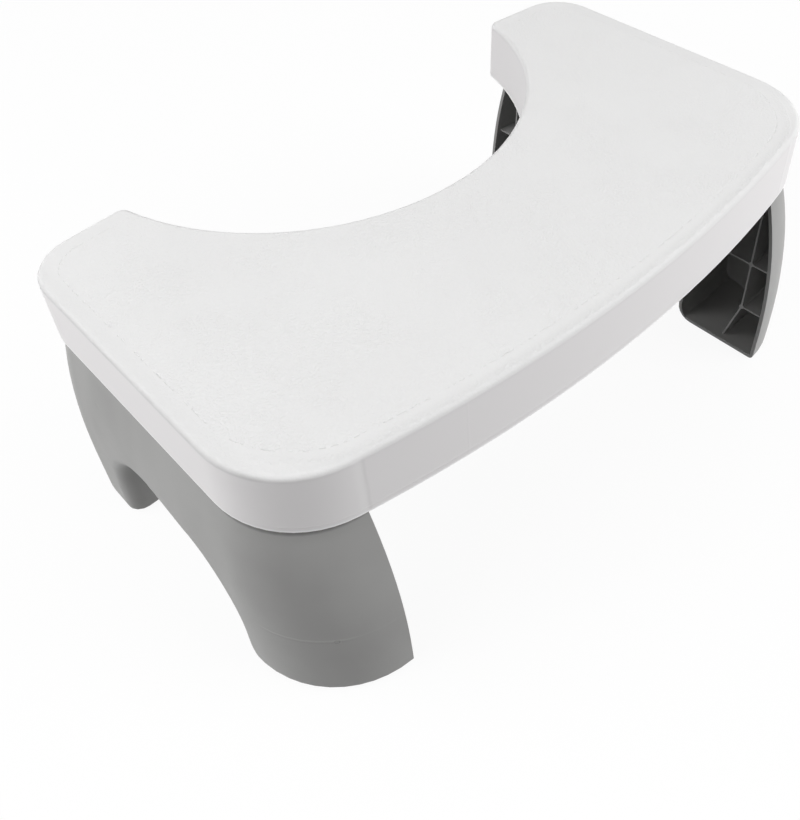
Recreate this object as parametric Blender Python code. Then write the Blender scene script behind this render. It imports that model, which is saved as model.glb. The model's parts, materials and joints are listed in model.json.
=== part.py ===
"""A toilet footstool: a skirted deck with a bay in its rear side, on two hollow leg shells that push in.

Metres, +Z up, standing on z = 0, with the front at -Y and the bay at +Y. Outlines are written in the
design frame, where y = 0 is the foremost line of the deck; the stool's empty centres it in the world.
"""

from math import asin, atan2, cos, pi, radians, sin, sqrt

import bmesh
import bpy
from mathutils import Matrix, Vector

# Overall
HEIGHT = 0.1680
FIT_GAP = 0.0003
OVERRUN = 0.0060

# Deck, in plan
DECK_HALF_WIDTH = 0.2070
FRONT_ARC_RADIUS = 0.8450
FRONT_CORNER_RADIUS = 0.0520
REAR_SIDE_Y = 0.2358
REAR_TILT = radians(4.5)
REAR_CORNER_RADIUS = 0.0290
TIP_RADIUS = 0.0061
LOBE_WIDTH = 0.0603
BAY_CENTRE_Y = 0.2731

# Deck, in section
DECK_DEPTH = 0.0384
DECK_PLATE = 0.0028
SKIRT_WALL = 0.0022
DECK_DRAFT = 0.0008
TOP_EDGE_RADIUS = 0.0026

# Ribs under the deck
DECK_RIB_WALL = 0.0016
DECK_RIB_DEPTH = 0.0100
LONG_RIB_PITCH = 0.0385
CROSS_RIB_PITCH = 0.0420
POCKET_RIB_WALL = 0.0020
POCKET_RIB_DEPTH = 0.0310

# Plugs on top of the legs, and their sockets under the deck
PLUG_WIDTH = 0.0160
PLUG_LENGTH = 0.0280
PLUG_HEIGHT = 0.0085
PLUG_WALL = 0.0020
PLUG_INNER_OFFSET = 0.0150
SOCKET_WALL = 0.0018

# Leg shells
LEG_WIDTH = 0.0478
LEG_LEAN = 0.0026
LEG_WALL = 0.0024
LEG_SETBACK = 0.0020
SIDE_FLARE = 0.0112
FRONT_FLARE = 0.0197
REAR_FLARE = 0.0160
SIDE_FLARE_END_Z = 0.0027
LONG_FLARE_END_Z = 0.0091
FRONT_FOOT_RADIUS = 0.0616
REAR_FOOT_RADIUS = 0.0403
FOOT_EDGE_RADIUS = 0.0030

# How the flares and the corners' radii grow from the skirt's rim to the floor: powers of the height
SIDE_FLARE_POWER = 3.5
LONG_FLARE_POWER = 2.4
FRONT_CORNER_POWER = 2.7
REAR_CORNER_POWER = 3.4

# Arch between the two feet of a leg
ARCH_FRONT_Y = 0.0645
ARCH_REAR_Y = 0.1855
ARCH_TOP_Z = 0.0705
ARCH_CORNER_RADIUS = 0.0430
ARCH_DRAFT = 0.0020
FRONT_TOE_RADIUS = 0.0115
REAR_TOE_RADIUS = 0.0035
FRONT_LIP_RADIUS = 0.0034
REAR_LIP_RADIUS = 0.0095

# Ribs inside the leg shells
LEG_RIB_WALL = 0.0011
LEG_RIB_RECESS = 0.0022
BOSS_RADIUS = 0.0017
LOWER_RIB_Z = 0.0350
FOOT_RIB_Y = 0.0187
FOOT_RIB_LEAN = 0.0037
BRACE_RUN = 0.0088
HIP_RIB_PITCH = 0.0420

# Non-slip pads
PAD_THICKNESS = 0.0020
PAD_STANDOUT = 0.0012
PAD_OUTER_MARGIN = 0.0080
PAD_INNER_MARGIN = 0.0050
PAD_TOE_MARGIN = 0.0020
PAD_CORNER_RADIUS = 0.0040

# Numbers of steps round the curved stretches
FRONT_STEPS = 12
CORNER_STEPS = 12
REAR_STEPS = 8
TIP_STEPS = 5
BAY_STEPS = 20
EDGE_STEPS = 4
FLARE_STEPS = 12
ARCH_STEPS = 12
TOE_STEPS = 5
LIP_STEPS = 4
BOSS_SIDES = 12

# Colours and finish
DECK_COLOUR = (0.78, 0.775, 0.77, 1.0)
LEG_COLOUR = (0.30, 0.30, 0.295, 1.0)
PAD_COLOUR = (0.045, 0.045, 0.047, 1.0)
PLASTIC_ROUGHNESS = 0.55
PAD_ROUGHNESS = 0.85
SMOOTH_ANGLE = radians(32)

# Heights and places that follow from the sizes above
BAY_RADIUS = DECK_HALF_WIDTH - LOBE_WIDTH
RIM_INNER_X = DECK_HALF_WIDTH - LEG_WIDTH
FOOT_INNER_X = RIM_INNER_X - LEG_LEAN
RIM_Z = HEIGHT - DECK_DEPTH
PLATE_Z = HEIGHT - DECK_PLATE
DECK_RIB_Z = PLATE_Z - DECK_RIB_DEPTH
LEG_TOP_Z = DECK_RIB_Z - FIT_GAP
FOOT_Z = PAD_STANDOUT
SEAT_INSET = SKIRT_WALL + FIT_GAP
ARCH_MIDDLE_Y = (ARCH_FRONT_Y + ARCH_REAR_Y) / 2
UPPER_RIB_Z = ARCH_TOP_Z + LEG_WALL / 2
RIB_CREST_X = RIM_INNER_X + LEG_RIB_RECESS
POCKET_RIB_X = RIM_INNER_X - FIT_GAP - POCKET_RIB_WALL / 2
PLUG_X = RIM_INNER_X + PLUG_INNER_OFFSET + PLUG_WIDTH / 2
OUTER_X = DECK_HALF_WIDTH + SIDE_FLARE


def draft_at(z):
    """How far the skirt has moved out at a height, from nothing at the plate to the whole at the rim."""
    return DECK_DRAFT * (PLATE_Z - z) / (PLATE_Z - RIM_Z)


def arc(centre_x, centre_y, radius, start, end, steps):
    """Points round a centre; an angle of 0 looks to the front and a quarter turn to the right."""
    angles = [start + (end - start) * i / steps for i in range(steps + 1)]
    return [(centre_x + radius * sin(a), centre_y - radius * cos(a)) for a in angles]


def rear_line_y(x, inset):
    """The slanted rear edge of the deck's lobes, moved inwards by an inset."""
    return REAR_SIDE_Y - (inset + sin(REAR_TILT) * (x - DECK_HALF_WIDTH)) / cos(REAR_TILT)


def front_corner():
    """Centre of the deck's front corner, which touches the front arc and the side, and its start angle."""
    x = DECK_HALF_WIDTH - FRONT_CORNER_RADIUS
    rise = sqrt((FRONT_ARC_RADIUS - FRONT_CORNER_RADIUS) ** 2 - x ** 2)
    return x, FRONT_ARC_RADIUS - rise, atan2(x, rise)


def tip_corner():
    """Centre of a lobe's inner tip, which touches the rear edge and the bay, and where the bay starts."""
    slope = sin(REAR_TILT) / cos(REAR_TILT)
    rise = rear_line_y(0, TIP_RADIUS) - BAY_CENTRE_Y
    reach = BAY_RADIUS + TIP_RADIUS
    root = sqrt(reach ** 2 * (1 + slope ** 2) - rise ** 2)
    x = (slope * rise + root) / (1 + slope ** 2)
    y = rear_line_y(x, TIP_RADIUS)
    return x, y, atan2(x, BAY_CENTRE_Y - y)


def deck_outline(inset):
    """The deck's plan outline moved inwards by an inset, anticlockwise from the middle of the front."""
    corner_x, corner_y, corner_start = front_corner()
    rear_x = DECK_HALF_WIDTH - REAR_CORNER_RADIUS
    rear_y = rear_line_y(rear_x, REAR_CORNER_RADIUS)
    tip_x, tip_y, bay_start = tip_corner()
    right = arc(0, FRONT_ARC_RADIUS, FRONT_ARC_RADIUS - inset, 0, corner_start, FRONT_STEPS)[:-1]
    right += arc(corner_x, corner_y, FRONT_CORNER_RADIUS - inset, corner_start, pi / 2, CORNER_STEPS)
    right += arc(rear_x, rear_y, REAR_CORNER_RADIUS - inset, pi / 2, pi - REAR_TILT, REAR_STEPS)
    right += arc(tip_x, tip_y, TIP_RADIUS - inset, pi - REAR_TILT, pi + bay_start, TIP_STEPS)
    right += arc(0, BAY_CENTRE_Y, BAY_RADIUS + inset, bay_start, 0, BAY_STEPS)[1:]
    return right + [(-x, y) for x, y in reversed(right[1:-1])]


def growth(z, end_z, power):
    """The share of a flare that is there at a height: none at the skirt's rim, all at the flare's end."""
    height = min(max(z, end_z), RIM_Z)
    return 1 - ((height - end_z) / (RIM_Z - end_z)) ** power


def seat_at(z):
    """How far inside the deck's outline the legs' sides stand at a height."""
    return SEAT_INSET - draft_at(max(z, RIM_Z))


def inner_at(z):
    """Where a leg's open inner side is at a height: upright in the deck, leaning in below its rim."""
    share = min(max((RIM_Z - z) / (RIM_Z - FOOT_Z), 0), 1)
    return RIM_INNER_X + (FOOT_INNER_X - RIM_INNER_X) * share


def side_at(z):
    """Where the outer side of a leg is at a height."""
    return DECK_HALF_WIDTH - seat_at(z) + SIDE_FLARE * growth(z, SIDE_FLARE_END_Z, SIDE_FLARE_POWER)


def leg_corners(z):
    """Centre and radius of a leg's front and rear corners, and how far its rear wall is moved inwards."""
    side = side_at(z)
    seat = seat_at(z) + LEG_SETBACK
    flare = growth(z, LONG_FLARE_END_Z, LONG_FLARE_POWER)
    front_seat = FRONT_CORNER_RADIUS - seat
    front_growth = growth(z, LONG_FLARE_END_Z, FRONT_CORNER_POWER)
    front_radius = front_seat + (FRONT_FOOT_RADIUS - front_seat) * front_growth
    front_y = front_corner()[1] - front_seat - FRONT_FLARE * flare + front_radius
    rear_seat = REAR_CORNER_RADIUS - seat
    rear_growth = growth(z, LONG_FLARE_END_Z, REAR_CORNER_POWER)
    rear_radius = rear_seat + (REAR_FOOT_RADIUS - rear_seat) * rear_growth
    rear_inset = seat - REAR_FLARE * flare
    rear_y = rear_line_y(side - rear_radius, rear_inset + rear_radius)
    front = (side - front_radius, front_y, front_radius)
    rear = (side - rear_radius, rear_y, rear_radius)
    return front, rear, rear_inset


def leg_outline(z, inset, inner_x):
    """A leg's plan section: a round front corner, a straight side and a round rear corner."""
    (front_x, front_y, front_radius), (rear_x, rear_y, rear_radius), rear_inset = leg_corners(z)
    front_radius -= inset
    start = asin(max(inner_at(z) + FIT_GAP - front_x, 0) / front_radius)
    points = arc(front_x, front_y, front_radius, start, pi / 2, CORNER_STEPS)
    points += arc(rear_x, rear_y, rear_radius - inset, pi / 2, pi - REAR_TILT, CORNER_STEPS)
    rear_end = rear_line_y(inner_x, rear_inset + inset)
    return [(inner_x, points[0][1])] + points + [(inner_x, rear_end)]


def half_arch(toe_y, turn_y, inwards, toe_radius, grow):
    """One half of the arch in side view as (y, z), from below its toe up to its flat crown."""
    wall_y = toe_y - inwards * grow
    points = [(wall_y - inwards * toe_radius, -OVERRUN)]
    for i in range(TOE_STEPS + 1):
        turn = pi / 2 * i / TOE_STEPS
        y = wall_y - inwards * toe_radius * (1 - sin(turn))
        points.append((y, FOOT_Z + toe_radius * (1 - cos(turn))))
    for i in range(ARCH_STEPS + 1):
        turn = pi / 2 * i / ARCH_STEPS
        radius = ARCH_CORNER_RADIUS + grow
        y = turn_y - inwards * radius * cos(turn)
        points.append((y, ARCH_TOP_Z - ARCH_CORNER_RADIUS + radius * sin(turn)))
    return points


def arch_outlines(front_grow, rear_grow):
    """The arch's front and rear halves in side view, each widened into the leg by its own amount."""
    front_turn_y = ARCH_FRONT_Y + ARCH_CORNER_RADIUS
    rear_turn_y = ARCH_REAR_Y - ARCH_CORNER_RADIUS
    front = half_arch(ARCH_FRONT_Y, front_turn_y, 1, FRONT_TOE_RADIUS, front_grow)
    rear = half_arch(ARCH_REAR_Y, rear_turn_y, -1, REAR_TOE_RADIUS, rear_grow)
    return front, rear[::-1]


def make_material(name, colour, roughness):
    """A plain plastic or rubber."""
    material = bpy.data.materials.new(name)
    material.use_nodes = True
    shader = material.node_tree.nodes["Principled BSDF"]
    shader.inputs["Base Color"].default_value = colour
    shader.inputs["Roughness"].default_value = roughness
    shader.inputs["Metallic"].default_value = 0
    return material


def make_collection(name):
    """A collection in the scene."""
    collection = bpy.data.collections.new(name)
    bpy.context.scene.collection.children.link(collection)
    return collection


def make_empty(name, place, parent, parent_place):
    """An empty at a place in the design frame, under a parent that stands at its own place there."""
    empty = bpy.data.objects.new(name, None)
    PARTS.objects.link(empty)
    empty.parent = parent
    empty.location = Vector(place) - Vector(parent_place)
    return empty, place


def add_piece(name, data, carrier, material):
    """A visible piece, which keeps its place in the design frame under its carrier."""
    piece = bpy.data.objects.new(name, data)
    PARTS.objects.link(piece)
    piece.parent = carrier[0]
    piece.location = -Vector(carrier[1])
    data.materials.append(material)
    return piece


def add_cutter(name, data, carrier):
    """A hidden body that cuts others."""
    cutter = bpy.data.objects.new(name, data)
    CUTTERS.objects.link(cutter)
    cutter.parent = carrier[0]
    cutter.location = -Vector(carrier[1])
    cutter.hide_render = True
    cutter.display_type = "WIRE"
    return cutter


def combine(target, operation, others):
    """Cuts or joins a body with others, one Boolean each."""
    for other in others:
        boolean = target.modifiers.new(other.name, "BOOLEAN")
        boolean.solver = "EXACT"
        boolean.operation = operation
        boolean.object = other


def finish_mesh(shape, name):
    """Turns a bmesh into a mesh with its faces pointing out, smooth but for its real edges."""
    bmesh.ops.recalc_face_normals(shape, faces=shape.faces)
    mesh = bpy.data.meshes.new(name)
    shape.to_mesh(mesh)
    shape.free()
    mesh.shade_smooth()
    mesh.set_sharp_from_angle(angle=SMOOTH_ANGLE)
    return mesh


def loft(name, sections):
    """A closed body through sections of as many points each, with a face at either end."""
    shape = bmesh.new()
    rings = [[shape.verts.new(point) for point in section] for section in sections]
    count = len(rings[0])
    for lower, upper in zip(rings, rings[1:]):
        for i in range(count):
            j = (i + 1) % count
            shape.faces.new((lower[i], lower[j], upper[j], upper[i]))
    shape.faces.new(rings[0])
    shape.faces.new(rings[-1])
    return finish_mesh(shape, name)


def block(name, low, high):
    """A box between two corners."""
    shape = bmesh.new()
    bmesh.ops.create_cube(shape, size=1)
    low, high = Vector(low), Vector(high)
    scale = Matrix.Diagonal((*(high - low), 1))
    bmesh.ops.transform(shape, matrix=Matrix.Translation((low + high) / 2) @ scale, verts=shape.verts)
    return finish_mesh(shape, name)


def upright(name, centre, size, low_z, high_z):
    """A box on a centre in plan, between two heights."""
    low = (centre[0] - size[0] / 2, centre[1] - size[1] / 2, low_z)
    high = (centre[0] + size[0] / 2, centre[1] + size[1] / 2, high_z)
    return block(name, low, high)


def make_deck(carrier, material):
    """The step: an open-bottomed shell with a grid of ribs, two cross ribs and four sockets."""
    sections = [(RIM_Z, -draft_at(RIM_Z))]
    for i in range(EDGE_STEPS + 1):
        turn = pi / 2 * i / EDGE_STEPS
        z = HEIGHT - TOP_EDGE_RADIUS * (1 - sin(turn))
        sections.append((z, TOP_EDGE_RADIUS * (1 - cos(turn))))
    outer = loft("deck", [[(x, y, z) for x, y in deck_outline(inset)] for z, inset in sections])
    deck = add_piece("deck", outer, carrier, material)
    heights = (RIM_Z - OVERRUN, PLATE_Z)
    inner = [[(x, y, z) for x, y in deck_outline(SKIRT_WALL - draft_at(z))] for z in heights]
    hollow = add_cutter("deck_hollow", loft("deck_hollow", inner), carrier)

    depth = BAY_CENTRE_Y
    roof = PLATE_Z + OVERRUN
    kept = []
    for row in range(1, int(depth / CROSS_RIB_PITCH)):
        centre = (0, row * CROSS_RIB_PITCH)
        rib = upright("deck_cross_rib", centre, (2 * OUTER_X, DECK_RIB_WALL), DECK_RIB_Z, roof)
        kept.append(add_cutter(f"deck_cross_rib_{row}", rib, carrier))
    columns = int(RIM_INNER_X / LONG_RIB_PITCH)
    long_ribs = [column * LONG_RIB_PITCH for column in range(1 - columns, columns)]
    for number, x in enumerate(long_ribs + [-PLUG_X, PLUG_X]):
        rib = upright("deck_long_rib", (x, 0), (DECK_RIB_WALL, 2 * depth), DECK_RIB_Z, roof)
        kept.append(add_cutter(f"deck_long_rib_{number}", rib, carrier))
    pockets = []
    for side, word in SIDES:
        size = (POCKET_RIB_WALL, 2 * depth)
        rib = upright("pocket_rib", (side * POCKET_RIB_X, 0), size, PLATE_Z - POCKET_RIB_DEPTH, roof)
        kept.append(add_cutter(f"{word}_pocket_rib", rib, carrier))
        for end, y in PLUG_PLACES:
            bore = (PLUG_WIDTH + 2 * FIT_GAP, PLUG_LENGTH + 2 * FIT_GAP)
            wall = (bore[0] + 2 * SOCKET_WALL, bore[1] + 2 * SOCKET_WALL)
            socket = upright("socket", (side * PLUG_X, y), wall, DECK_RIB_Z, roof)
            kept.append(add_cutter(f"{word}_{end}_socket", socket, carrier))
            ceiling = LEG_TOP_Z + PLUG_HEIGHT + FIT_GAP
            pocket = upright("pocket", (side * PLUG_X, y), bore, DECK_RIB_Z - OVERRUN, ceiling)
            pockets.append(add_cutter(f"{word}_{end}_pocket", pocket, carrier))
    combine(hollow, "DIFFERENCE", kept)
    combine(deck, "DIFFERENCE", [hollow] + pockets)


def leg_levels(low, high):
    """Heights of a leg's sections, close together along the flare."""
    steps = [low + (RIM_Z - low) * i / FLARE_STEPS for i in range(FLARE_STEPS + 1)]
    return steps + [high]


def leg_shape(side, name):
    """A leg's outer body, with the lower edge rounded."""
    sections = []
    for i in range(EDGE_STEPS):
        turn = pi / 2 * i / EDGE_STEPS
        z = FOOT_Z + FOOT_EDGE_RADIUS * (1 - cos(turn))
        sections.append((z, FOOT_EDGE_RADIUS * (1 - sin(turn))))
    sections += [(z, 0) for z in leg_levels(FOOT_Z + FOOT_EDGE_RADIUS, LEG_TOP_Z)]
    rings = [[(side * x, y, z) for x, y in leg_outline(z, inset, inner_at(z))] for z, inset in sections]
    return loft(name, rings)


def arch_shape(side, name, wall):
    """The arch as a body through the leg, wider by a wall and by a draft at the inner side.

    Along the flared outer side it opens in a round lip.
    """
    low_x = FOOT_INNER_X - OVERRUN - wall
    low = arch_outlines(wall + ARCH_DRAFT, wall + ARCH_DRAFT)
    rings = [[(side * low_x, y, z) for half in low for y, z in half]]
    for i in range(LIP_STEPS + 2):
        turn = pi / 2 * min(i / LIP_STEPS, 1)
        radii = (FRONT_LIP_RADIUS, REAR_LIP_RADIUS)
        grows = [radius - (radius - wall) * cos(turn) for radius in radii]
        depths = [radius - (radius - wall) * sin(turn) for radius in radii]
        if i > LIP_STEPS:
            depths = [-OVERRUN, -OVERRUN]
        ring = []
        for half, depth in zip(arch_outlines(*grows), depths):
            ring += [(side * (side_at(z) - depth), y, z) for y, z in half]
        rings.append(ring)
    return loft(name, rings)


def strip(name, side, start, end):
    """A rib inside a leg, which runs outwards in X and from one point in side view to another."""
    run = Vector(end) - Vector(start)
    width = OUTER_X + OVERRUN - RIB_CREST_X
    shape = bmesh.new()
    bmesh.ops.create_cube(shape, size=1)
    middle = (Vector(start) + Vector(end)) / 2
    place = Matrix.Translation((side * (RIB_CREST_X + width / 2), middle.x, middle.y))
    turn = Matrix.Rotation(atan2(run.y, run.x), 4, "X")
    scale = Matrix.Diagonal((width, run.length, LEG_RIB_WALL, 1))
    bmesh.ops.transform(shape, matrix=place @ turn @ scale, verts=shape.verts)
    return finish_mesh(shape, name)


def boss(name, side, place):
    """A round pad where two ribs of a leg cross."""
    width = OUTER_X + OVERRUN - RIB_CREST_X
    shape = bmesh.new()
    bmesh.ops.create_cone(
        shape, cap_ends=True, segments=BOSS_SIDES, radius1=BOSS_RADIUS, radius2=BOSS_RADIUS, depth=width
    )
    centre = Matrix.Translation((side * (RIB_CREST_X + width / 2), *place))
    bmesh.ops.transform(shape, matrix=centre @ Matrix.Rotation(pi / 2, 4, "Y"), verts=shape.verts)
    return finish_mesh(shape, name)


def leg_ribs(side, word, carrier):
    """The ribs and bosses inside a leg, which its hollow leaves standing."""
    far_y = 2 * ARCH_MIDDLE_Y
    roof = LEG_TOP_Z
    paths = {"upper": ((-OVERRUN, UPPER_RIB_Z), (far_y + OVERRUN, UPPER_RIB_Z))}
    bosses = {}
    for end, mirror in (("front", False), ("rear", True)):
        knee = (FOOT_RIB_Y, LOWER_RIB_Z)
        head = (FOOT_RIB_Y + FOOT_RIB_LEAN, roof)
        share = (UPPER_RIB_Z - LOWER_RIB_Z) / (roof - LOWER_RIB_Z)
        crossing = (FOOT_RIB_Y + FOOT_RIB_LEAN * share, UPPER_RIB_Z)
        edge = (-OVERRUN, LOWER_RIB_Z)
        toe = (FOOT_RIB_Y + BRACE_RUN, FOOT_Z)
        if mirror:
            knee, head, crossing, edge, toe = [(far_y - y, z) for y, z in (knee, head, crossing, edge, toe)]
        paths[f"{end}_foot"] = (knee, head)
        paths[f"{end}_lower"] = (knee, edge)
        paths[f"{end}_brace"] = (knee, toe)
        bosses[f"{end}_knee"] = knee
        bosses[f"{end}_crossing"] = crossing
    for number in (-1, 0, 1):
        y = ARCH_MIDDLE_Y + number * HIP_RIB_PITCH
        paths[f"hip_{number + 2}"] = ((y, UPPER_RIB_Z), (y, roof))
    found = []
    for title, (start, end) in paths.items():
        name = f"{word}_{title}_rib"
        found.append(add_cutter(name, strip(name, side, start, end), carrier))
    for title, place in bosses.items():
        name = f"{word}_{title}_boss"
        found.append(add_cutter(name, boss(name, side, place), carrier))
    return found


def pad_outline(side, rear, grow):
    """A pad's outline in plan: a round side that follows the foot's corner, and two straight ones."""
    centre_x, centre_y, radius = leg_corners(FOOT_Z)[1 if rear else 0]
    flip = -1 if rear else 1
    toe_y = ARCH_FRONT_Y - FRONT_TOE_RADIUS - PAD_TOE_MARGIN
    if rear:
        toe_y = ARCH_REAR_Y + REAR_TOE_RADIUS + PAD_TOE_MARGIN
    reach = radius - PAD_OUTER_MARGIN
    inner_reach = reach - PAD_CORNER_RADIUS
    low_x = FOOT_INNER_X + PAD_INNER_MARGIN + PAD_CORNER_RADIUS - centre_x
    high_y = flip * (toe_y - centre_y) - PAD_CORNER_RADIUS
    tip_y = -sqrt(inner_reach ** 2 - low_x ** 2)
    side_x = sqrt(inner_reach ** 2 - high_y ** 2)
    start = atan2(low_x, -tip_y)
    end = atan2(side_x, -high_y)
    corner = PAD_CORNER_RADIUS + grow
    points = arc(low_x, tip_y, corner, -pi / 2, start, TIP_STEPS)
    points += arc(0, 0, reach + grow, start, end, CORNER_STEPS)[1:-1]
    points += arc(side_x, high_y, corner, end, pi, TIP_STEPS)
    points += arc(low_x, high_y, corner, pi, 3 * pi / 2, TIP_STEPS)
    return [(side * (centre_x + x), centre_y + flip * y) for x, y in points]


def make_pad(name, side, rear, carrier, material):
    """A thin pad let into the bottom of a foot."""
    curve = bpy.data.curves.new(name, "CURVE")
    curve.dimensions = "2D"
    curve.fill_mode = "BOTH"
    curve.extrude = PAD_THICKNESS / 2
    outline = pad_outline(side, rear, 0)
    spline = curve.splines.new("POLY")
    spline.points.add(len(outline) - 1)
    for point, (x, y) in zip(spline.points, outline):
        point.co = (x, y, 0, 1)
    spline.use_cyclic_u = True
    pad = add_piece(name, curve, carrier, material)
    pad.location.z += PAD_THICKNESS / 2


def make_leg(side, word, stool, leg_material, pad_material):
    """A leg shell with its two pads, on an empty that stands on the line along which it pulls out."""
    slide = make_empty(f"{word}_leg_slide", (side * PLUG_X, ARCH_MIDDLE_Y, LEG_TOP_Z), *stool)
    leg = add_piece(f"{word}_leg", leg_shape(side, f"{word}_leg"), slide, leg_material)
    arch = add_cutter(f"{word}_arch", arch_shape(side, f"{word}_arch", 0), slide)

    levels = leg_levels(FOOT_Z + LEG_WALL, LEG_TOP_Z - LEG_WALL)
    inner_x = FOOT_INNER_X - OVERRUN
    rings = [[(side * x, y, z) for x, y in leg_outline(z, LEG_WALL, inner_x)] for z in levels]
    hollow = add_cutter(f"{word}_hollow", loft(f"{word}_hollow", rings), slide)
    island = add_cutter(f"{word}_arch_lining", arch_shape(side, f"{word}_arch_lining", LEG_WALL), slide)
    combine(hollow, "DIFFERENCE", [island] + leg_ribs(side, word, slide))

    plugs, bores, recesses = [], [], []
    for end, y in PLUG_PLACES:
        size = (PLUG_WIDTH, PLUG_LENGTH)
        plug = upright("plug", (side * PLUG_X, y), size, LEG_TOP_Z - LEG_WALL / 2, LEG_TOP_Z + PLUG_HEIGHT)
        plugs.append(add_cutter(f"{word}_{end}_plug", plug, slide))
        inside = (PLUG_WIDTH - 2 * PLUG_WALL, PLUG_LENGTH - 2 * PLUG_WALL)
        floor = LEG_TOP_Z - LEG_WALL - OVERRUN
        bore = upright("bore", (side * PLUG_X, y), inside, floor, LEG_TOP_Z + PLUG_HEIGHT - PLUG_WALL)
        bores.append(add_cutter(f"{word}_{end}_plug_bore", bore, slide))
    for end, rear in (("front", False), ("rear", True)):
        outline = pad_outline(side, rear, FIT_GAP)
        heights = (FOOT_Z - OVERRUN, PAD_THICKNESS + FIT_GAP)
        recess = loft("recess", [[(x, y, z) for x, y in outline] for z in heights])
        recesses.append(add_cutter(f"{word}_{end}_recess", recess, slide))
        make_pad(f"{word}_{end}_pad", side, rear, slide, pad_material)
    combine(leg, "UNION", plugs)
    combine(leg, "DIFFERENCE", [arch, hollow] + bores + recesses)


for old in list(bpy.data.objects):
    bpy.data.objects.remove(old, do_unlink=True)

PARTS = make_collection("toilet_footstool")
CUTTERS = make_collection("cutters")
SIDES = ((-1, "left"), (1, "right"))
PLUG_PLACES = (("front", ARCH_FRONT_Y), ("rear", ARCH_REAR_Y))

front_foot = leg_corners(FOOT_Z)[0]
rear_foot_y = rear_line_y(FOOT_INNER_X, leg_corners(FOOT_Z)[2])
middle_y = (front_foot[1] - front_foot[2] + rear_foot_y) / 2
centre = make_empty("stool", (0, 0, 0), None, (0, middle_y, 0))
white = make_material("deck_plastic", DECK_COLOUR, PLASTIC_ROUGHNESS)
grey = make_material("leg_plastic", LEG_COLOUR, PLASTIC_ROUGHNESS)
black = make_material("foot_pad_rubber", PAD_COLOUR, PAD_ROUGHNESS)
make_deck(centre, white)
for leg_side, leg_word in SIDES:
    make_leg(leg_side, leg_word, centre, grey, black)
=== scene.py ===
"""Looks of the toilet footstool: moulded plastic and rubber finishes, the studio and the camera.

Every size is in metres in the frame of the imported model, which stands on z = 0 with its bay at +Y.
A texture's scale is in cells per metre, a share is a part of 1, and the heights in a relief are
multiples of its depth.
"""

import json
from math import cos, radians, sin

import bmesh
import bpy
from mathutils import Matrix, Vector

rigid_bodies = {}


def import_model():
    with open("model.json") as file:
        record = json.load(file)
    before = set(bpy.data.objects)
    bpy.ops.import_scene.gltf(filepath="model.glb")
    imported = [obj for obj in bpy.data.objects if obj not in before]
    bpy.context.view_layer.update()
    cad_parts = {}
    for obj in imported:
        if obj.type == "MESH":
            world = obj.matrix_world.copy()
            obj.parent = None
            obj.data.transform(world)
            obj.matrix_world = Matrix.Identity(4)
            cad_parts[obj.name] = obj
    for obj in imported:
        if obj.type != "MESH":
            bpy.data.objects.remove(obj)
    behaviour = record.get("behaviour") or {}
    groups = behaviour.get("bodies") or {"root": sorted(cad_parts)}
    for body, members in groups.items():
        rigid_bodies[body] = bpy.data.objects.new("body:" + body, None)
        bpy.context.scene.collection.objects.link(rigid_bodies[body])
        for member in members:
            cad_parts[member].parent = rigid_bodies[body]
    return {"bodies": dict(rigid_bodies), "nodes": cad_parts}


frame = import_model()

IMAGE_LONG_SIDE = 820

# Camera: where the photograph was taken from
CAMERA_PLACE = (-0.29188, -0.31387, 0.47955)
CAMERA_AZIMUTH = radians(40.966)
CAMERA_ELEVATION = radians(45.970)
CAMERA_ROLL = radians(2.924)
CAMERA_SHIFT = (-0.04522, -0.07638)
CAMERA_CLIP = (0.01, 100.0)
FOCAL_PIXELS = 939.74
SENSOR_WIDTH = 36.0

# Studio: the floor, the surround and the lamps
FLOOR_HALF_SIZE = 6.0
FLOOR_DROP = 0.0002
FLOOR_LIT = 0.92
FLOOR_BOUNCE = 0.17
FLOOR_GLOW_SHARE = 0.93
FLOOR_FADE = (0.5, 2.5)
SURROUND_STRENGTH = 0.08
WHITE = (1.0, 1.0, 1.0, 1.0)
LIGHT_TARGET = (0.0, 0.0, 0.1)
LAMP_REACH = 1.9
LAMP_SIZE = 1.4

# Each lamp's name, azimuth and elevation in degrees, and power in watts
LAMPS = (
    ("left_rear", -125, 30, 20.5),
    ("left", -90, 28, 14),
    ("front_low", 33, 22, 31),
    ("front_right", 62, 12, 4),
    ("right", 90, 35, 4.5),
    ("top", 160, 80, 8),
)

# The deck's outline, inside which the grain has its border line
DECK_HALF_WIDTH = 0.2070
FRONT_CENTRE = (0.0, 0.7193, 0.0)
FRONT_RADIUS = 0.8450
FRONT_CORNER_RADIUS = 0.0520
REAR_SIDE_Y = 0.1101
REAR_SLOPE = 0.0787
REAR_CORNER_RADIUS = 0.0290
BORDER_INSET = 0.0108
BORDER_HALF_WIDTH = 0.0007

# Heights and places that the deck's finish and its painted shade and highlights follow
TOP_Z = 0.1680
TOP_EDGE_DEPTH = 0.0024
GRAIN_FULL_DEPTH = 0.0007
FOLD_DEPTH = 0.0018
FOLD_SHADE_X = (0.1930, 0.2010)
EDGE_SHADE_DEPTHS = (0.0010, 0.0090)
EDGE_SHADE_X = (0.1600, 0.1900)
FRONT_Y = (-0.0900, -0.0700)
SPECK_START_DEPTHS = (0.0014, 0.0032)
SPECK_DEPTHS = (0.0040, 0.0080)
RIM_Z = 0.1296
RIM_FADE = (RIM_Z + 0.0005, RIM_Z + 0.0015)
SEAM_Z = 0.1330
SEAM_HALF_WIDTH = 0.0008

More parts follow.
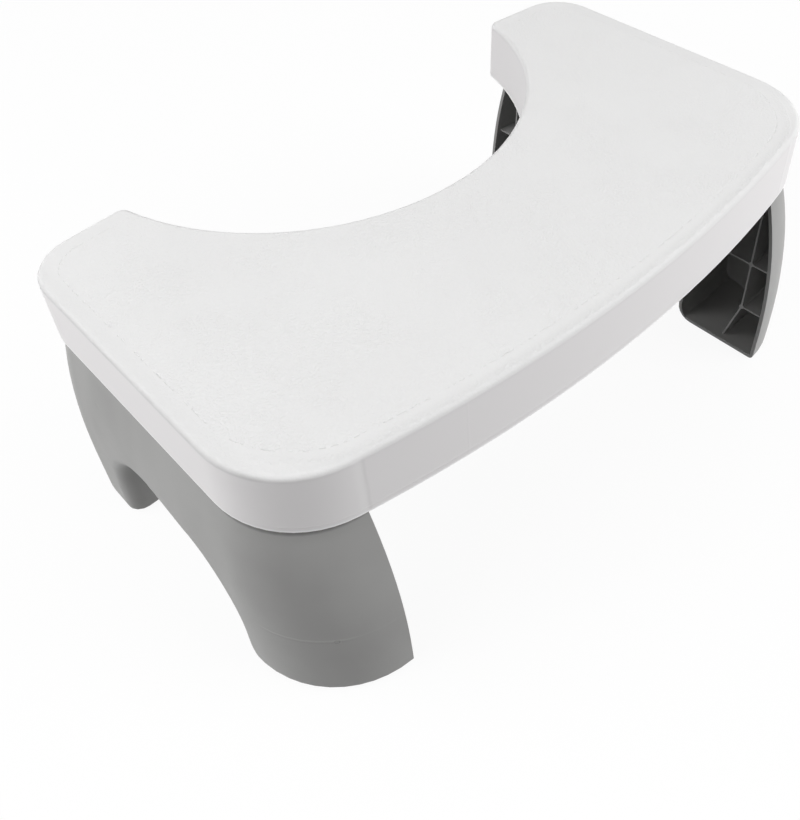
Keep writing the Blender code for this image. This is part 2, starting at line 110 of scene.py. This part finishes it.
# Marks that the moulds left: lines across the front skirt, and sink marks on the legs
WELD_X = 0.1600
WELD_RISE = 0.0110
WELD_LINE_HALF_WIDTH = 0.0013
WELD_BAND_OFFSET = 0.0031
WELD_BAND_HALF_WIDTH = 0.0036
WELD_WOBBLE = 0.0012
FINE_WELD_X = 0.1066
SINK_LINE_Z = 0.0522
SINK_LINE_HALF_WIDTH = 0.0011
SINK_SHADE_Z = 0.0503
SINK_LINE_Y = (-0.0870, -0.0750)
SINK_LINE_X = (0.1780, 0.1930)
GATE_PLACE = (0.1913, -0.1128, 0.0509)
GATE_RADIUS = 0.0013
SIDE_SINKS = ((0.2114, 0.0580, 0.1036), (0.2121, 0.0224, 0.0996))
SIDE_SINK_RADIUS = 0.0030

# Between these heights a painted shadow, a dark line, begins and ends, where the legs go up behind the
# deck's rim
GAP_SHADE_LOW = (RIM_Z - 0.0056, RIM_Z - 0.0038)
GAP_SHADE_HIGH = (RIM_Z - 0.0022, RIM_Z - 0.0004)

# Colours
DECK_LIGHT = (0.800, 0.799, 0.798, 1.0)
DECK_DARK = (0.784, 0.782, 0.781, 1.0)
# Painted reflection: the skirt's white with a faint pink tint, while the top of the same plastic stays
# neutral
SKIRT_REFLECTION_TINT = (0.800, 0.785, 0.790, 1.0)
# Painted shade on the rounded edge between the top and the skirt, strongest at the sides
FOLD_SHADE_COLOUR = (0.635, 0.632, 0.632, 1.0)
# Painted shade on the top near its front edge, fading towards the ends
EDGE_SHADE_COLOUR = (0.600, 0.598, 0.598, 1.0)
# Painted shade on the weld line and a painted highlight on the band outside it
WELD_LINE_SHADE_COLOUR = (0.700, 0.690, 0.692, 1.0)
WELD_BAND_HIGHLIGHT_COLOUR = (0.860, 0.850, 0.852, 1.0)
# Painted highlight: a light line along the skirt's bottom edge
RIM_HIGHLIGHT_COLOUR = (0.930, 0.926, 0.926, 1.0)
LEG_LIGHT = (0.336, 0.335, 0.330, 1.0)
LEG_DARK = (0.290, 0.288, 0.284, 1.0)
STREAK_COLOUR = (0.375, 0.374, 0.369, 1.0)
# Painted highlight along the sink line's ridge
SINK_LINE_HIGHLIGHT_COLOUR = (0.430, 0.428, 0.422, 1.0)
# Painted shade for the ring at the gate and the stripe under the sink line
MARK_SHADE_COLOUR = (0.200, 0.199, 0.196, 1.0)
# Painted shadow on the legs just under the deck's rim
GAP_SHADOW_COLOUR = (0.100, 0.098, 0.096, 1.0)
PAD_LIGHT = (0.050, 0.050, 0.052, 1.0)
PAD_DARK = (0.035, 0.035, 0.037, 1.0)

# How much each of those colours covers where its mark is strongest
FOLD_FRONT_SHARE = 0.30
EDGE_SHADE_SHARE = 0.28
WELD_LINE_SHARE = 0.40
WELD_BAND_SHARE = 0.50
STREAK_SHARE = 0.45
GATE_SHARE = 0.35
SINK_LINE_SHARE = 0.48
SINK_SHADE_SHARE = 0.16
SINK_LINE_INNER_SHARE = 0.15
GAP_SHADOW_SHARE = 0.62

# Specular levels and roughnesses
DECK_SPECULAR = 0.20
SKIRT_ROUGHNESS = 0.52
TOP_ROUGHNESS = 0.78
LEG_SPECULAR = 0.24
LEG_ROUGHNESS = 0.46
PAD_SPECULAR = 0.25
PAD_ROUGHNESS = 0.85
ROUGHNESS_SPREAD = 0.04

# Noise textures
CLOUDS = {"scale": 9.0, "detail": 3.0, "roughness": 0.6}
ROUGH_CLOUDS = {"scale": 35.0, "detail": 2.0, "roughness": 0.5}
PATCHES = {"scale": 26.0, "detail": 2.0}
DASHES = {"scale": 420.0, "detail": 1.0}
FLOW = {"scale": 42.0, "detail": 3.0, "roughness": 0.55}
WELD_NOISE = {"scale": 60.0, "detail": 1.0}
SWEEP = {"scale": 30.0, "detail": 4.0, "roughness": 0.6, "distortion": 0.6}
STREAKS = {"scale": 34.0, "detail": 1.0, "roughness": 0.4}
GRIT = {"scale": 1500.0, "detail": 1.0}

# How the noises are stretched upwards
FLOW_STRETCH = (1.0, 1.0, 0.12)
SWEEP_STRETCH = (1.0, 1.0, 0.25)
STREAK_STRETCH = (1.0, 1.0, 0.22)

# Between these values of a noise its effect begins and is whole
CLOUD_RANGE = (0.30, 0.70)
ROUGH_CLOUD_RANGE = (0.25, 0.75)
PATCH_RANGE = (0.38, 0.62)
DASH_RANGE = (0.48, 0.60)
STREAK_RANGE = (0.35, 0.70)

# The top's grain: cells, how far they are bent out of shape, and how high each kind stands
WANDER = {"Scale": 110.0, "Detail": 2.0}
WANDER_REACH = 0.0040
PEBBLE_SCALE = 430.0
PEBBLE_EDGE = 0.28
FINE_SCALE = 1100.0
FINE_HEIGHT = 0.25
SPECK_SCALE = 640.0
SPECK_HEIGHT = 1.5
PATCH_HEIGHTS = (0.40, 0.75)
MARGIN_HEIGHT = 0.45
BORDER_HEIGHT = -1.4
GRAIN_RISE = 1.9

# Heights of the other reliefs
FLOW_HEIGHT = 0.6
SEAM_HEIGHT = 1.2
FINE_WELD_HEIGHT = 0.4
WELD_STEP_HEIGHT = -0.8
GRIT_HEIGHT = 0.12
SINK_LINE_HEIGHT = 1.0
GATE_HEIGHT = 3.0
SIDE_SINK_HEIGHT = -0.8
PORE_SCALE = 900.0

# What a relief's height of 1 stands for, and how strongly it bends the light
DECK_RELIEF = {"depth": 0.00011, "strength": 0.8}
LEG_RELIEF = {"depth": 0.00016, "strength": 0.7}
PAD_RELIEF = {"depth": 0.00020, "strength": 0.6}

# Edges sharper than this stay crisp
CREASE_ANGLE = radians(32)
WELD_DISTANCE = 0.00001

# A colour Mix node's sockets, by number
MIX_FACTOR, MIX_FIRST, MIX_SECOND, MIX_RESULT = 0, 6, 7, 2


def clear_defaults():
    """Takes away what an empty start leaves in the scene, so that only the frame is there."""
    kept = set(frame["nodes"].values()) | set(frame["bodies"].values())
    for old in list(bpy.data.objects):
        if old not in kept:
            bpy.data.objects.remove(old, do_unlink=True)


class Nodes:
    """A material's or the world's node tree, with short calls to add nodes and links."""

    def __init__(self, owner):
        owner.use_nodes = True
        self.tree = owner.node_tree
        self.tree.nodes.clear()

    def add(self, kind, settings=None, **inputs):
        """Adds a node; inputs are values or sockets, by the socket's name with _ for a space."""
        made = self.tree.nodes.new(kind)
        for name, value in (settings or {}).items():
            setattr(made, name, value)
        for name, value in inputs.items():
            self.put(made, name.replace("_", " "), value)
        return made

    def put(self, node, name, value):
        """Sets one input, by name or by number, to a value or a link."""
        socket = node.inputs[name]
        if isinstance(value, bpy.types.NodeSocket):
            self.tree.links.new(value, socket)
        else:
            socket.default_value = value

    def math(self, operation, *values):
        """A Math node's output."""
        made = self.tree.nodes.new("ShaderNodeMath")
        made.operation = operation
        for number, value in enumerate(values):
            self.put(made, number, value)
        return made.outputs[0]

    def ramp(self, value, low, high, start=0.0, end=1.0):
        """A smooth step from start at low to end at high."""
        made = self.add("ShaderNodeMapRange", {"interpolation_type": "SMOOTHSTEP"}, Value=value)
        for name, number in (("From Min", low), ("From Max", high), ("To Min", start), ("To Max", end)):
            made.inputs[name].default_value = number
        return made.outputs["Result"]

    def noise(self, vector, scale, detail=2.0, roughness=0.5, distortion=0.0):
        """A noise texture's factor."""
        made = self.add("ShaderNodeTexNoise", Vector=vector, Scale=scale, Detail=detail)
        made.inputs["Roughness"].default_value = roughness
        made.inputs["Distortion"].default_value = distortion
        return made.outputs["Fac"]

    def cells(self, vector, scale, feature="F1"):
        """A cell texture's distance, to the cells' middles or to their edges."""
        made = self.add("ShaderNodeTexVoronoi", {"feature": feature}, Vector=vector, Scale=scale)
        return made.outputs["Distance"]

    def stretched(self, vector, scale):
        """A vector scaled by axis."""
        made = self.add("ShaderNodeMapping", Vector=vector)
        made.inputs["Scale"].default_value = scale
        return made.outputs["Vector"]

    def blend(self, factor, first, second):
        """A colour between two."""
        made = self.add("ShaderNodeMix", {"data_type": "RGBA"})
        self.put(made, MIX_FACTOR, factor)
        self.put(made, MIX_FIRST, first)
        self.put(made, MIX_SECOND, second)
        return made.outputs[MIX_RESULT]

    def mixed(self, factor, first, second):
        """A shader between two."""
        made = self.add("ShaderNodeMixShader")
        for number, value in enumerate((factor, first, second)):
            self.put(made, number, value)
        return made.outputs["Shader"]

    def product(self, *values):
        """The product of two or more values."""
        result = values[0]
        for value in values[1:]:
            result = self.math("MULTIPLY", result, value)
        return result


def band(nodes, value, centre, half_width):
    """1 on a value's centre, falling off smoothly to 0 on both sides."""
    away = nodes.math("ABSOLUTE", nodes.math("SUBTRACT", value, centre))
    return nodes.ramp(away, 0.0, half_width, 1.0, 0.0)


def off_middle(nodes, axes):
    """How far a place is to the side of the stool's middle."""
    return nodes.math("ABSOLUTE", axes["X"])


def on_front(nodes, axes):
    """1 on the front of the deck, 0 behind its front corners."""
    return nodes.ramp(axes["Y"], *FRONT_Y, 1.0, 0.0)


def mirrored(nodes, axes):
    """The place vector with both halves of the stool folded onto the right one."""
    folded = nodes.add("ShaderNodeCombineXYZ", X=off_middle(nodes, axes), Y=axes["Y"], Z=axes["Z"])
    return folded.outputs["Vector"]


def distance(nodes, vector, point):
    """How far a place is from a point."""
    made = nodes.add("ShaderNodeVectorMath", {"operation": "DISTANCE"})
    nodes.put(made, 0, vector)
    made.inputs[1].default_value = point
    return made.outputs["Value"]


def inside_corner(nodes, first, second, radius):
    """How far inside two edges a place is, where a round corner joins them."""
    over = [nodes.math("SUBTRACT", radius, depth) for depth in (first, second)]
    squares = [nodes.math("POWER", nodes.math("MAXIMUM", value, 0.0), 2.0) for value in over]
    outer = nodes.math("SQRT", nodes.math("ADD", *squares))
    inner = nodes.math("MINIMUM", nodes.math("MAXIMUM", *over), 0.0)
    return nodes.math("SUBTRACT", radius, nodes.math("ADD", outer, inner))


def outline_depth(nodes, axes):
    """How far inside the deck's outline a place is, apart from its bay."""
    flat = nodes.add("ShaderNodeCombineXYZ", X=axes["X"], Y=axes["Y"]).outputs["Vector"]
    side = nodes.math("SUBTRACT", DECK_HALF_WIDTH, off_middle(nodes, axes))
    front = nodes.math("SUBTRACT", FRONT_RADIUS, distance(nodes, flat, FRONT_CENTRE))
    rear_y = nodes.math("MULTIPLY_ADD", side, REAR_SLOPE, REAR_SIDE_Y)
    rear = nodes.math("SUBTRACT", rear_y, axes["Y"])
    front_corner = inside_corner(nodes, side, front, FRONT_CORNER_RADIUS)
    rear_corner = inside_corner(nodes, side, rear, REAR_CORNER_RADIUS)
    return nodes.math("MINIMUM", front_corner, rear_corner)


def plastic(name, light, dark, specular):
    """Starts a moulded plastic: its nodes, its place vector and axes, its shader and its colour."""
    material = bpy.data.materials.new(name)
    nodes = Nodes(material)
    place = nodes.add("ShaderNodeTexCoord").outputs["Object"]
    axes = nodes.add("ShaderNodeSeparateXYZ", Vector=place).outputs
    colour = nodes.blend(nodes.ramp(nodes.noise(place, **CLOUDS), *CLOUD_RANGE), dark, light)
    shader = nodes.add("ShaderNodeBsdfPrincipled", Base_Color=colour)
    shader.inputs["Specular IOR Level"].default_value = specular
    nodes.add("ShaderNodeOutputMaterial", Surface=shader.outputs["BSDF"])
    return material, nodes, place, axes, shader, colour


def cloudy_roughness(nodes, shader, place, roughness):
    """Gives a shader a roughness that drifts a little around its middle."""
    ends = (roughness - ROUGHNESS_SPREAD, roughness + ROUGHNESS_SPREAD)
    clouds = nodes.noise(place, **ROUGH_CLOUDS)
    nodes.put(shader, "Roughness", nodes.ramp(clouds, *ROUGH_CLOUD_RANGE, *ends))


def bump(nodes, shader, height, depth, strength):
    """Gives a shader a relief from a height of 0 to 1 that stands for a real depth."""
    made = nodes.add("ShaderNodeBump", Height=height, Strength=strength, Distance=depth)
    nodes.put(shader, "Normal", made.outputs["Normal"])


def deck_grain(nodes, place, axes, depth):
    """The top's relief: fine pebbles in drifting patches, inside a faint broken border line."""
    wander = nodes.add("ShaderNodeTexNoise", Vector=place, **WANDER)
    shift = nodes.add("ShaderNodeVectorMath", {"operation": "SCALE"}, Vector=wander.outputs["Color"])
    shift.inputs["Scale"].default_value = WANDER_REACH
    moved = nodes.add("ShaderNodeVectorMath", {"operation": "ADD"})
    nodes.put(moved, 0, place)
    nodes.put(moved, 1, shift.outputs["Vector"])
    bent = moved.outputs["Vector"]

    pebbles = nodes.ramp(nodes.cells(bent, PEBBLE_SCALE, "DISTANCE_TO_EDGE"), 0.0, PEBBLE_EDGE)
    pebbles = nodes.math("MULTIPLY_ADD", nodes.cells(bent, FINE_SCALE), FINE_HEIGHT, pebbles)
    patches = nodes.ramp(nodes.noise(place, **PATCHES), *PATCH_RANGE, *PATCH_HEIGHTS)
    within = nodes.ramp(depth, BORDER_INSET - BORDER_HALF_WIDTH, BORDER_INSET, MARGIN_HEIGHT, 1.0)
    grain = nodes.product(pebbles, patches, within)

    specks = nodes.product(
        nodes.ramp(depth, *SPECK_DEPTHS, SPECK_HEIGHT, 0.0),
        nodes.ramp(depth, *SPECK_START_DEPTHS),
        on_front(nodes, axes),
    )
    grain = nodes.math("MULTIPLY_ADD", nodes.cells(bent, SPECK_SCALE), specks, grain)
    dashes = nodes.ramp(nodes.noise(place, **DASHES), *DASH_RANGE)
    border = nodes.product(band(nodes, depth, BORDER_INSET, BORDER_HALF_WIDTH), dashes)
    return nodes.math("MULTIPLY_ADD", border, BORDER_HEIGHT, grain)


def skirt_relief(nodes, place, axes):
    """The skirt's relief: flow marks, a line above the rim and weld lines across the front."""
    flow = nodes.noise(nodes.stretched(place, FLOW_STRETCH), **FLOW)
    seam = band(nodes, axes["Z"], SEAM_Z, SEAM_HALF_WIDTH)
    width = off_middle(nodes, axes)
    step = nodes.ramp(width, WELD_X - SEAM_HALF_WIDTH, WELD_X + SEAM_HALF_WIDTH)
    slope = nodes.ramp(width, WELD_X, WELD_X + WELD_RISE, WELD_STEP_HEIGHT, 0.0)
    fine_weld = band(nodes, width, FINE_WELD_X, SEAM_HALF_WIDTH)
    welds = nodes.math("MULTIPLY_ADD", fine_weld, FINE_WELD_HEIGHT, nodes.product(step, slope))
    marks = nodes.math("MULTIPLY_ADD", seam, SEAM_HEIGHT, nodes.product(welds, on_front(nodes, axes)))
    return nodes.math("MULTIPLY_ADD", flow, FLOW_HEIGHT, marks)


def weld_shade_and_highlight(nodes, axes, off_top):
    """Where the front skirt's weld line gets painted shade, and where the band outside it gets a
    painted highlight.
    """
    wobble = nodes.noise(axes["Z"], **WELD_NOISE)
    width = nodes.math("MULTIPLY_ADD", wobble, WELD_WOBBLE, off_middle(nodes, axes))
    front = nodes.product(on_front(nodes, axes), off_top)
    line = band(nodes, width, WELD_X, WELD_LINE_HALF_WIDTH)
    weld_highlight_band = band(nodes, width, WELD_X + WELD_BAND_OFFSET, WELD_BAND_HALF_WIDTH)
    return nodes.product(line, front), nodes.product(weld_highlight_band, front)


def deck_material():
    """Off-white plastic: a fine leather-like grain on top, a smooth skirt with faint marks. Painted
    shade darkens the rounded top edge, the top near its front edge and the weld line. Painted
    highlights lighten the band beside the weld and the bottom rim, and a faint pink painted reflection
    tints the skirt.
    """
    material, nodes, place, axes, shader, colour = plastic(
        "deck_white", DECK_LIGHT, DECK_DARK, DECK_SPECULAR
    )
    on_top = nodes.ramp(axes["Z"], TOP_Z - TOP_EDGE_DEPTH, TOP_Z - GRAIN_FULL_DEPTH)
    off_top = nodes.math("SUBTRACT", 1.0, on_top)
    depth = outline_depth(nodes, axes)
    width = off_middle(nodes, axes)

    grain = nodes.product(deck_grain(nodes, place, axes, depth), on_top, GRAIN_RISE)
    height = nodes.math("MULTIPLY_ADD", skirt_relief(nodes, place, axes), off_top, grain)
    bump(nodes, shader, height, **DECK_RELIEF)
    nodes.put(shader, "Roughness", nodes.ramp(on_top, 0.0, 1.0, SKIRT_ROUGHNESS, TOP_ROUGHNESS))

    # Painted shade along the rounded top edge
    fold_shade = nodes.product(
        band(nodes, axes["Z"], TOP_Z - FOLD_DEPTH, TOP_EDGE_DEPTH),
        nodes.ramp(width, *FOLD_SHADE_X, FOLD_FRONT_SHARE, 1.0),
    )
    # Painted shade on the top, just inside the front edge
    edge_shade = nodes.product(
        nodes.ramp(depth, *EDGE_SHADE_DEPTHS, EDGE_SHADE_SHARE, 0.0),
        nodes.ramp(width, *EDGE_SHADE_X, 1.0, 0.0),
        on_front(nodes, axes),
        on_top,
    )
    line, weld_highlight_band = weld_shade_and_highlight(nodes, axes, off_top)
    # Painted highlight on the skirt's bottom edge
    rim_highlight = nodes.ramp(axes["Z"], *RIM_FADE, 1.0, 0.0)
    for share, tone in (
        # painted reflection: a faint pink tint over the whole skirt
        (off_top, SKIRT_REFLECTION_TINT),
        (fold_shade, FOLD_SHADE_COLOUR),
        (edge_shade, EDGE_SHADE_COLOUR),
        # painted shade on the weld line, and a painted highlight on the band beside it
        (nodes.product(line, WELD_LINE_SHARE), WELD_LINE_SHADE_COLOUR),
        (nodes.product(weld_highlight_band, WELD_BAND_SHARE), WELD_BAND_HIGHLIGHT_COLOUR),
        (rim_highlight, RIM_HIGHLIGHT_COLOUR),
    ):
        colour = nodes.blend(share, colour, tone)
    nodes.put(shader, "Base Color", colour)
    return material


def leg_material():
    """Mid-grey satin plastic with soft clouds, sink marks and a gate mark on the front foot. A painted
    highlight and painted shade mark the sink line, painted shade rings the gate, and a painted shadow
    lies just under the deck's rim.
    """
    material, nodes, place, axes, shader, colour = plastic(
        "leg_grey", LEG_LIGHT, LEG_DARK, LEG_SPECULAR
    )
    cloudy_roughness(nodes, shader, place, LEG_ROUGHNESS)
    folded = mirrored(nodes, axes)
    on_foot = nodes.product(
        nodes.ramp(axes["Y"], *SINK_LINE_Y, 1.0, 0.0),
        nodes.ramp(off_middle(nodes, axes), *SINK_LINE_X, SINK_LINE_INNER_SHARE, 1.0),
    )
    line = nodes.product(band(nodes, axes["Z"], SINK_LINE_Z, SINK_LINE_HALF_WIDTH), on_foot)
    # Where painted shade lies just under the sink line
    under_line_shade = nodes.product(band(nodes, axes["Z"], SINK_SHADE_Z, SINK_LINE_HALF_WIDTH), on_foot)
    gate = band(nodes, distance(nodes, folded, GATE_PLACE), GATE_RADIUS, GATE_RADIUS / 2)

    marks = nodes.math("MULTIPLY_ADD", line, SINK_LINE_HEIGHT, nodes.product(gate, GATE_HEIGHT))
    for spot in SIDE_SINKS:
        dent = nodes.ramp(distance(nodes, folded, spot), 0.0, SIDE_SINK_RADIUS, 1.0, 0.0)
        marks = nodes.math("MULTIPLY_ADD", dent, SIDE_SINK_HEIGHT, marks)
    sweep = nodes.noise(nodes.stretched(place, SWEEP_STRETCH), **SWEEP)
    skin = nodes.math("MULTIPLY_ADD", nodes.noise(place, **GRIT), GRIT_HEIGHT, sweep)
    bump(nodes, shader, nodes.math("ADD", skin, marks), **LEG_RELIEF)

    streaks = nodes.noise(nodes.stretched(place, STREAK_STRETCH), **STREAKS)
    # Painted shadow: a dark band on the legs just under the deck's rim, which moves with the legs
    gap_shadow = nodes.product(
        nodes.ramp(axes["Z"], *GAP_SHADE_LOW, 0.0, GAP_SHADOW_SHARE),
        nodes.ramp(axes["Z"], *GAP_SHADE_HIGH, 1.0, 0.0),
    )
    for share, tone in (
        (nodes.ramp(streaks, *STREAK_RANGE, 0.0, STREAK_SHARE), STREAK_COLOUR),
        # painted shade: a dark ring at the gate mark
        (nodes.product(gate, GATE_SHARE), MARK_SHADE_COLOUR),
        # painted highlight on the sink line, painted shade just below it
        (nodes.product(line, SINK_LINE_SHARE), SINK_LINE_HIGHLIGHT_COLOUR),
        (nodes.product(under_line_shade, SINK_SHADE_SHARE), MARK_SHADE_COLOUR),
        (gap_shadow, GAP_SHADOW_COLOUR),
    ):
        colour = nodes.blend(share, colour, tone)
    nodes.put(shader, "Base Color", colour)
    return material


def pad_material():
    """Dull black rubber foam."""
    material, nodes, place, _, shader, _ = plastic("pad_rubber", PAD_LIGHT, PAD_DARK, PAD_SPECULAR)
    cloudy_roughness(nodes, shader, place, PAD_ROUGHNESS)
    bump(nodes, shader, nodes.cells(place, PORE_SCALE), **PAD_RELIEF)
    return material


def smoothing_group():
    """Geometry nodes that weld the frame's split facets and shade them smooth between crisp edges."""
    group = bpy.data.node_groups.new("smooth_facets", "GeometryNodeTree")
    group.interface.new_socket("Geometry", in_out="INPUT", socket_type="NodeSocketGeometry")
    group.interface.new_socket("Geometry", in_out="OUTPUT", socket_type="NodeSocketGeometry")
    add = group.nodes.new
    start, end = add("NodeGroupInput"), add("NodeGroupOutput")
    weld = add("GeometryNodeMergeByDistance")
    weld.inputs["Distance"].default_value = WELD_DISTANCE
    faces = add("GeometryNodeSetShadeSmooth")
    faces.domain = "FACE"
    faces.inputs["Shade Smooth"].default_value = True
    edges = add("GeometryNodeSetShadeSmooth")
    edges.domain = "EDGE"
    edges.inputs["Shade Smooth"].default_value = False
    angle = add("GeometryNodeInputMeshEdgeAngle")
    crisp = add("FunctionNodeCompare")
    crisp.operation = "GREATER_THAN"
    crisp.inputs["B"].default_value = CREASE_ANGLE
    link = group.links.new
    link(start.outputs["Geometry"], weld.inputs["Geometry"])
    link(weld.outputs["Geometry"], faces.inputs["Geometry"])
    link(faces.outputs["Geometry"], edges.inputs["Geometry"])
    link(angle.outputs["Unsigned Angle"], crisp.inputs["A"])
    link(crisp.outputs["Result"], edges.inputs["Selection"])
    link(edges.outputs["Geometry"], end.inputs["Geometry"])
    return group


def dress(name, material, group):
    """Gives a node its material and smooth shading, without touching its mesh's points."""
    piece = frame["nodes"][name]
    for slot in piece.material_slots:
        slot.material = material
    split = piece.data.attributes.get("custom_normal")
    if split:
        piece.data.attributes.remove(split)
    smooth = piece.modifiers.new("smooth_facets", "NODES")
    smooth.node_group = group
    weighted = piece.modifiers.new("weighted_normals", "WEIGHTED_NORMAL")
    weighted.keep_sharp = True


def showing(nodes):
    """1 for the rays that show the surroundings: the camera's, and those mirrored or let through."""
    rays = nodes.add("ShaderNodeLightPath").outputs
    seen = nodes.math("MAXIMUM", rays["Is Camera Ray"], rays["Is Glossy Ray"])
    return nodes.math("MAXIMUM", seen, rays["Is Transmission Ray"])


def make_floor():
    """A plain white floor, seen as white and keeping the object's shadow."""
    shape = bmesh.new()
    bmesh.ops.create_grid(shape, x_segments=1, y_segments=1, size=FLOOR_HALF_SIZE)
    mesh = bpy.data.meshes.new("floor")
    shape.to_mesh(mesh)
    shape.free()
    floor = bpy.data.objects.new("floor", mesh)
    floor.location.z = -FLOOR_DROP
    bpy.context.scene.collection.objects.link(floor)

    material = bpy.data.materials.new("floor_white")
    nodes = Nodes(material)
    lit = nodes.add("ShaderNodeBsdfDiffuse", Color=(FLOOR_LIT, FLOOR_LIT, FLOOR_LIT, 1.0))
    bounce = nodes.add("ShaderNodeBsdfDiffuse", Color=(FLOOR_BOUNCE, FLOOR_BOUNCE, FLOOR_BOUNCE, 1.0))
    glow = nodes.add("ShaderNodeEmission", Color=WHITE, Strength=1.0)
    away = distance(nodes, nodes.add("ShaderNodeTexCoord").outputs["Object"], (0.0, 0.0, 0.0))
    glow_share = nodes.ramp(away, *FLOOR_FADE, FLOOR_GLOW_SHARE, 1.0)
    seen = nodes.mixed(glow_share, lit.outputs["BSDF"], glow.outputs["Emission"])
    surface = nodes.mixed(showing(nodes), bounce.outputs["BSDF"], seen)
    nodes.add("ShaderNodeOutputMaterial", Surface=surface)
    mesh.materials.append(material)


def make_world():
    """A soft even surround, which the camera sees as white."""
    world = bpy.data.worlds.new("studio")
    bpy.context.scene.world = world
    nodes = Nodes(world)
    dim = nodes.add("ShaderNodeBackground", Color=WHITE, Strength=SURROUND_STRENGTH)
    white = nodes.add("ShaderNodeBackground", Color=WHITE, Strength=1.0)
    surface = nodes.mixed(showing(nodes), dim.outputs["Background"], white.outputs["Background"])
    nodes.add("ShaderNodeOutputWorld", Surface=surface)


def make_lamp(name, azimuth, elevation, power):
    """A square soft light that looks at the object; an azimuth of 0 is in front and 90 at its right."""
    data = bpy.data.lights.new(name, "AREA")
    data.shape = "SQUARE"
    data.size = LAMP_SIZE
    data.energy = power
    lamp = bpy.data.objects.new(name, data)
    turn, rise = radians(azimuth), radians(elevation)
    away = Vector((sin(turn) * cos(rise), -cos(turn) * cos(rise), sin(rise)))
    lamp.location = Vector(LIGHT_TARGET) + away * LAMP_REACH
    lamp.rotation_euler = away.to_track_quat("Z", "Y").to_euler()
    bpy.context.scene.collection.objects.link(lamp)


def make_camera():
    """The camera at the photograph's place, with its roll and framing."""
    data = bpy.data.cameras.new("camera")
    data.sensor_fit = "AUTO"
    data.sensor_width = SENSOR_WIDTH
    data.lens = FOCAL_PIXELS * SENSOR_WIDTH / IMAGE_LONG_SIDE
    data.shift_x, data.shift_y = CAMERA_SHIFT
    data.clip_start, data.clip_end = CAMERA_CLIP
    camera = bpy.data.objects.new("camera", data)
    bpy.context.scene.collection.objects.link(camera)
    around, up = CAMERA_AZIMUTH, CAMERA_ELEVATION
    forward = Vector((sin(around) * cos(up), cos(around) * cos(up), -sin(up)))
    level = Vector((cos(around), -sin(around), 0))
    below = forward.cross(level)
    right = cos(CAMERA_ROLL) * level + sin(CAMERA_ROLL) * below
    down = -sin(CAMERA_ROLL) * level + cos(CAMERA_ROLL) * below
    turn = Matrix((right, -down, -forward)).transposed().to_4x4()
    camera.matrix_world = Matrix.Translation(CAMERA_PLACE) @ turn
    bpy.context.scene.camera = camera


clear_defaults()
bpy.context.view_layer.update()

group = smoothing_group()
white, grey, black = deck_material(), leg_material(), pad_material()
for node_name in frame["nodes"]:
    if node_name == "deck":
        dress(node_name, white, group)
    elif node_name.endswith("_leg"):
        dress(node_name, grey, group)
    else:
        dress(node_name, black, group)

make_floor()
make_world()
for lamp in LAMPS:
    make_lamp(*lamp)
make_camera()
bpy.context.scene.view_settings.view_transform = "Standard"
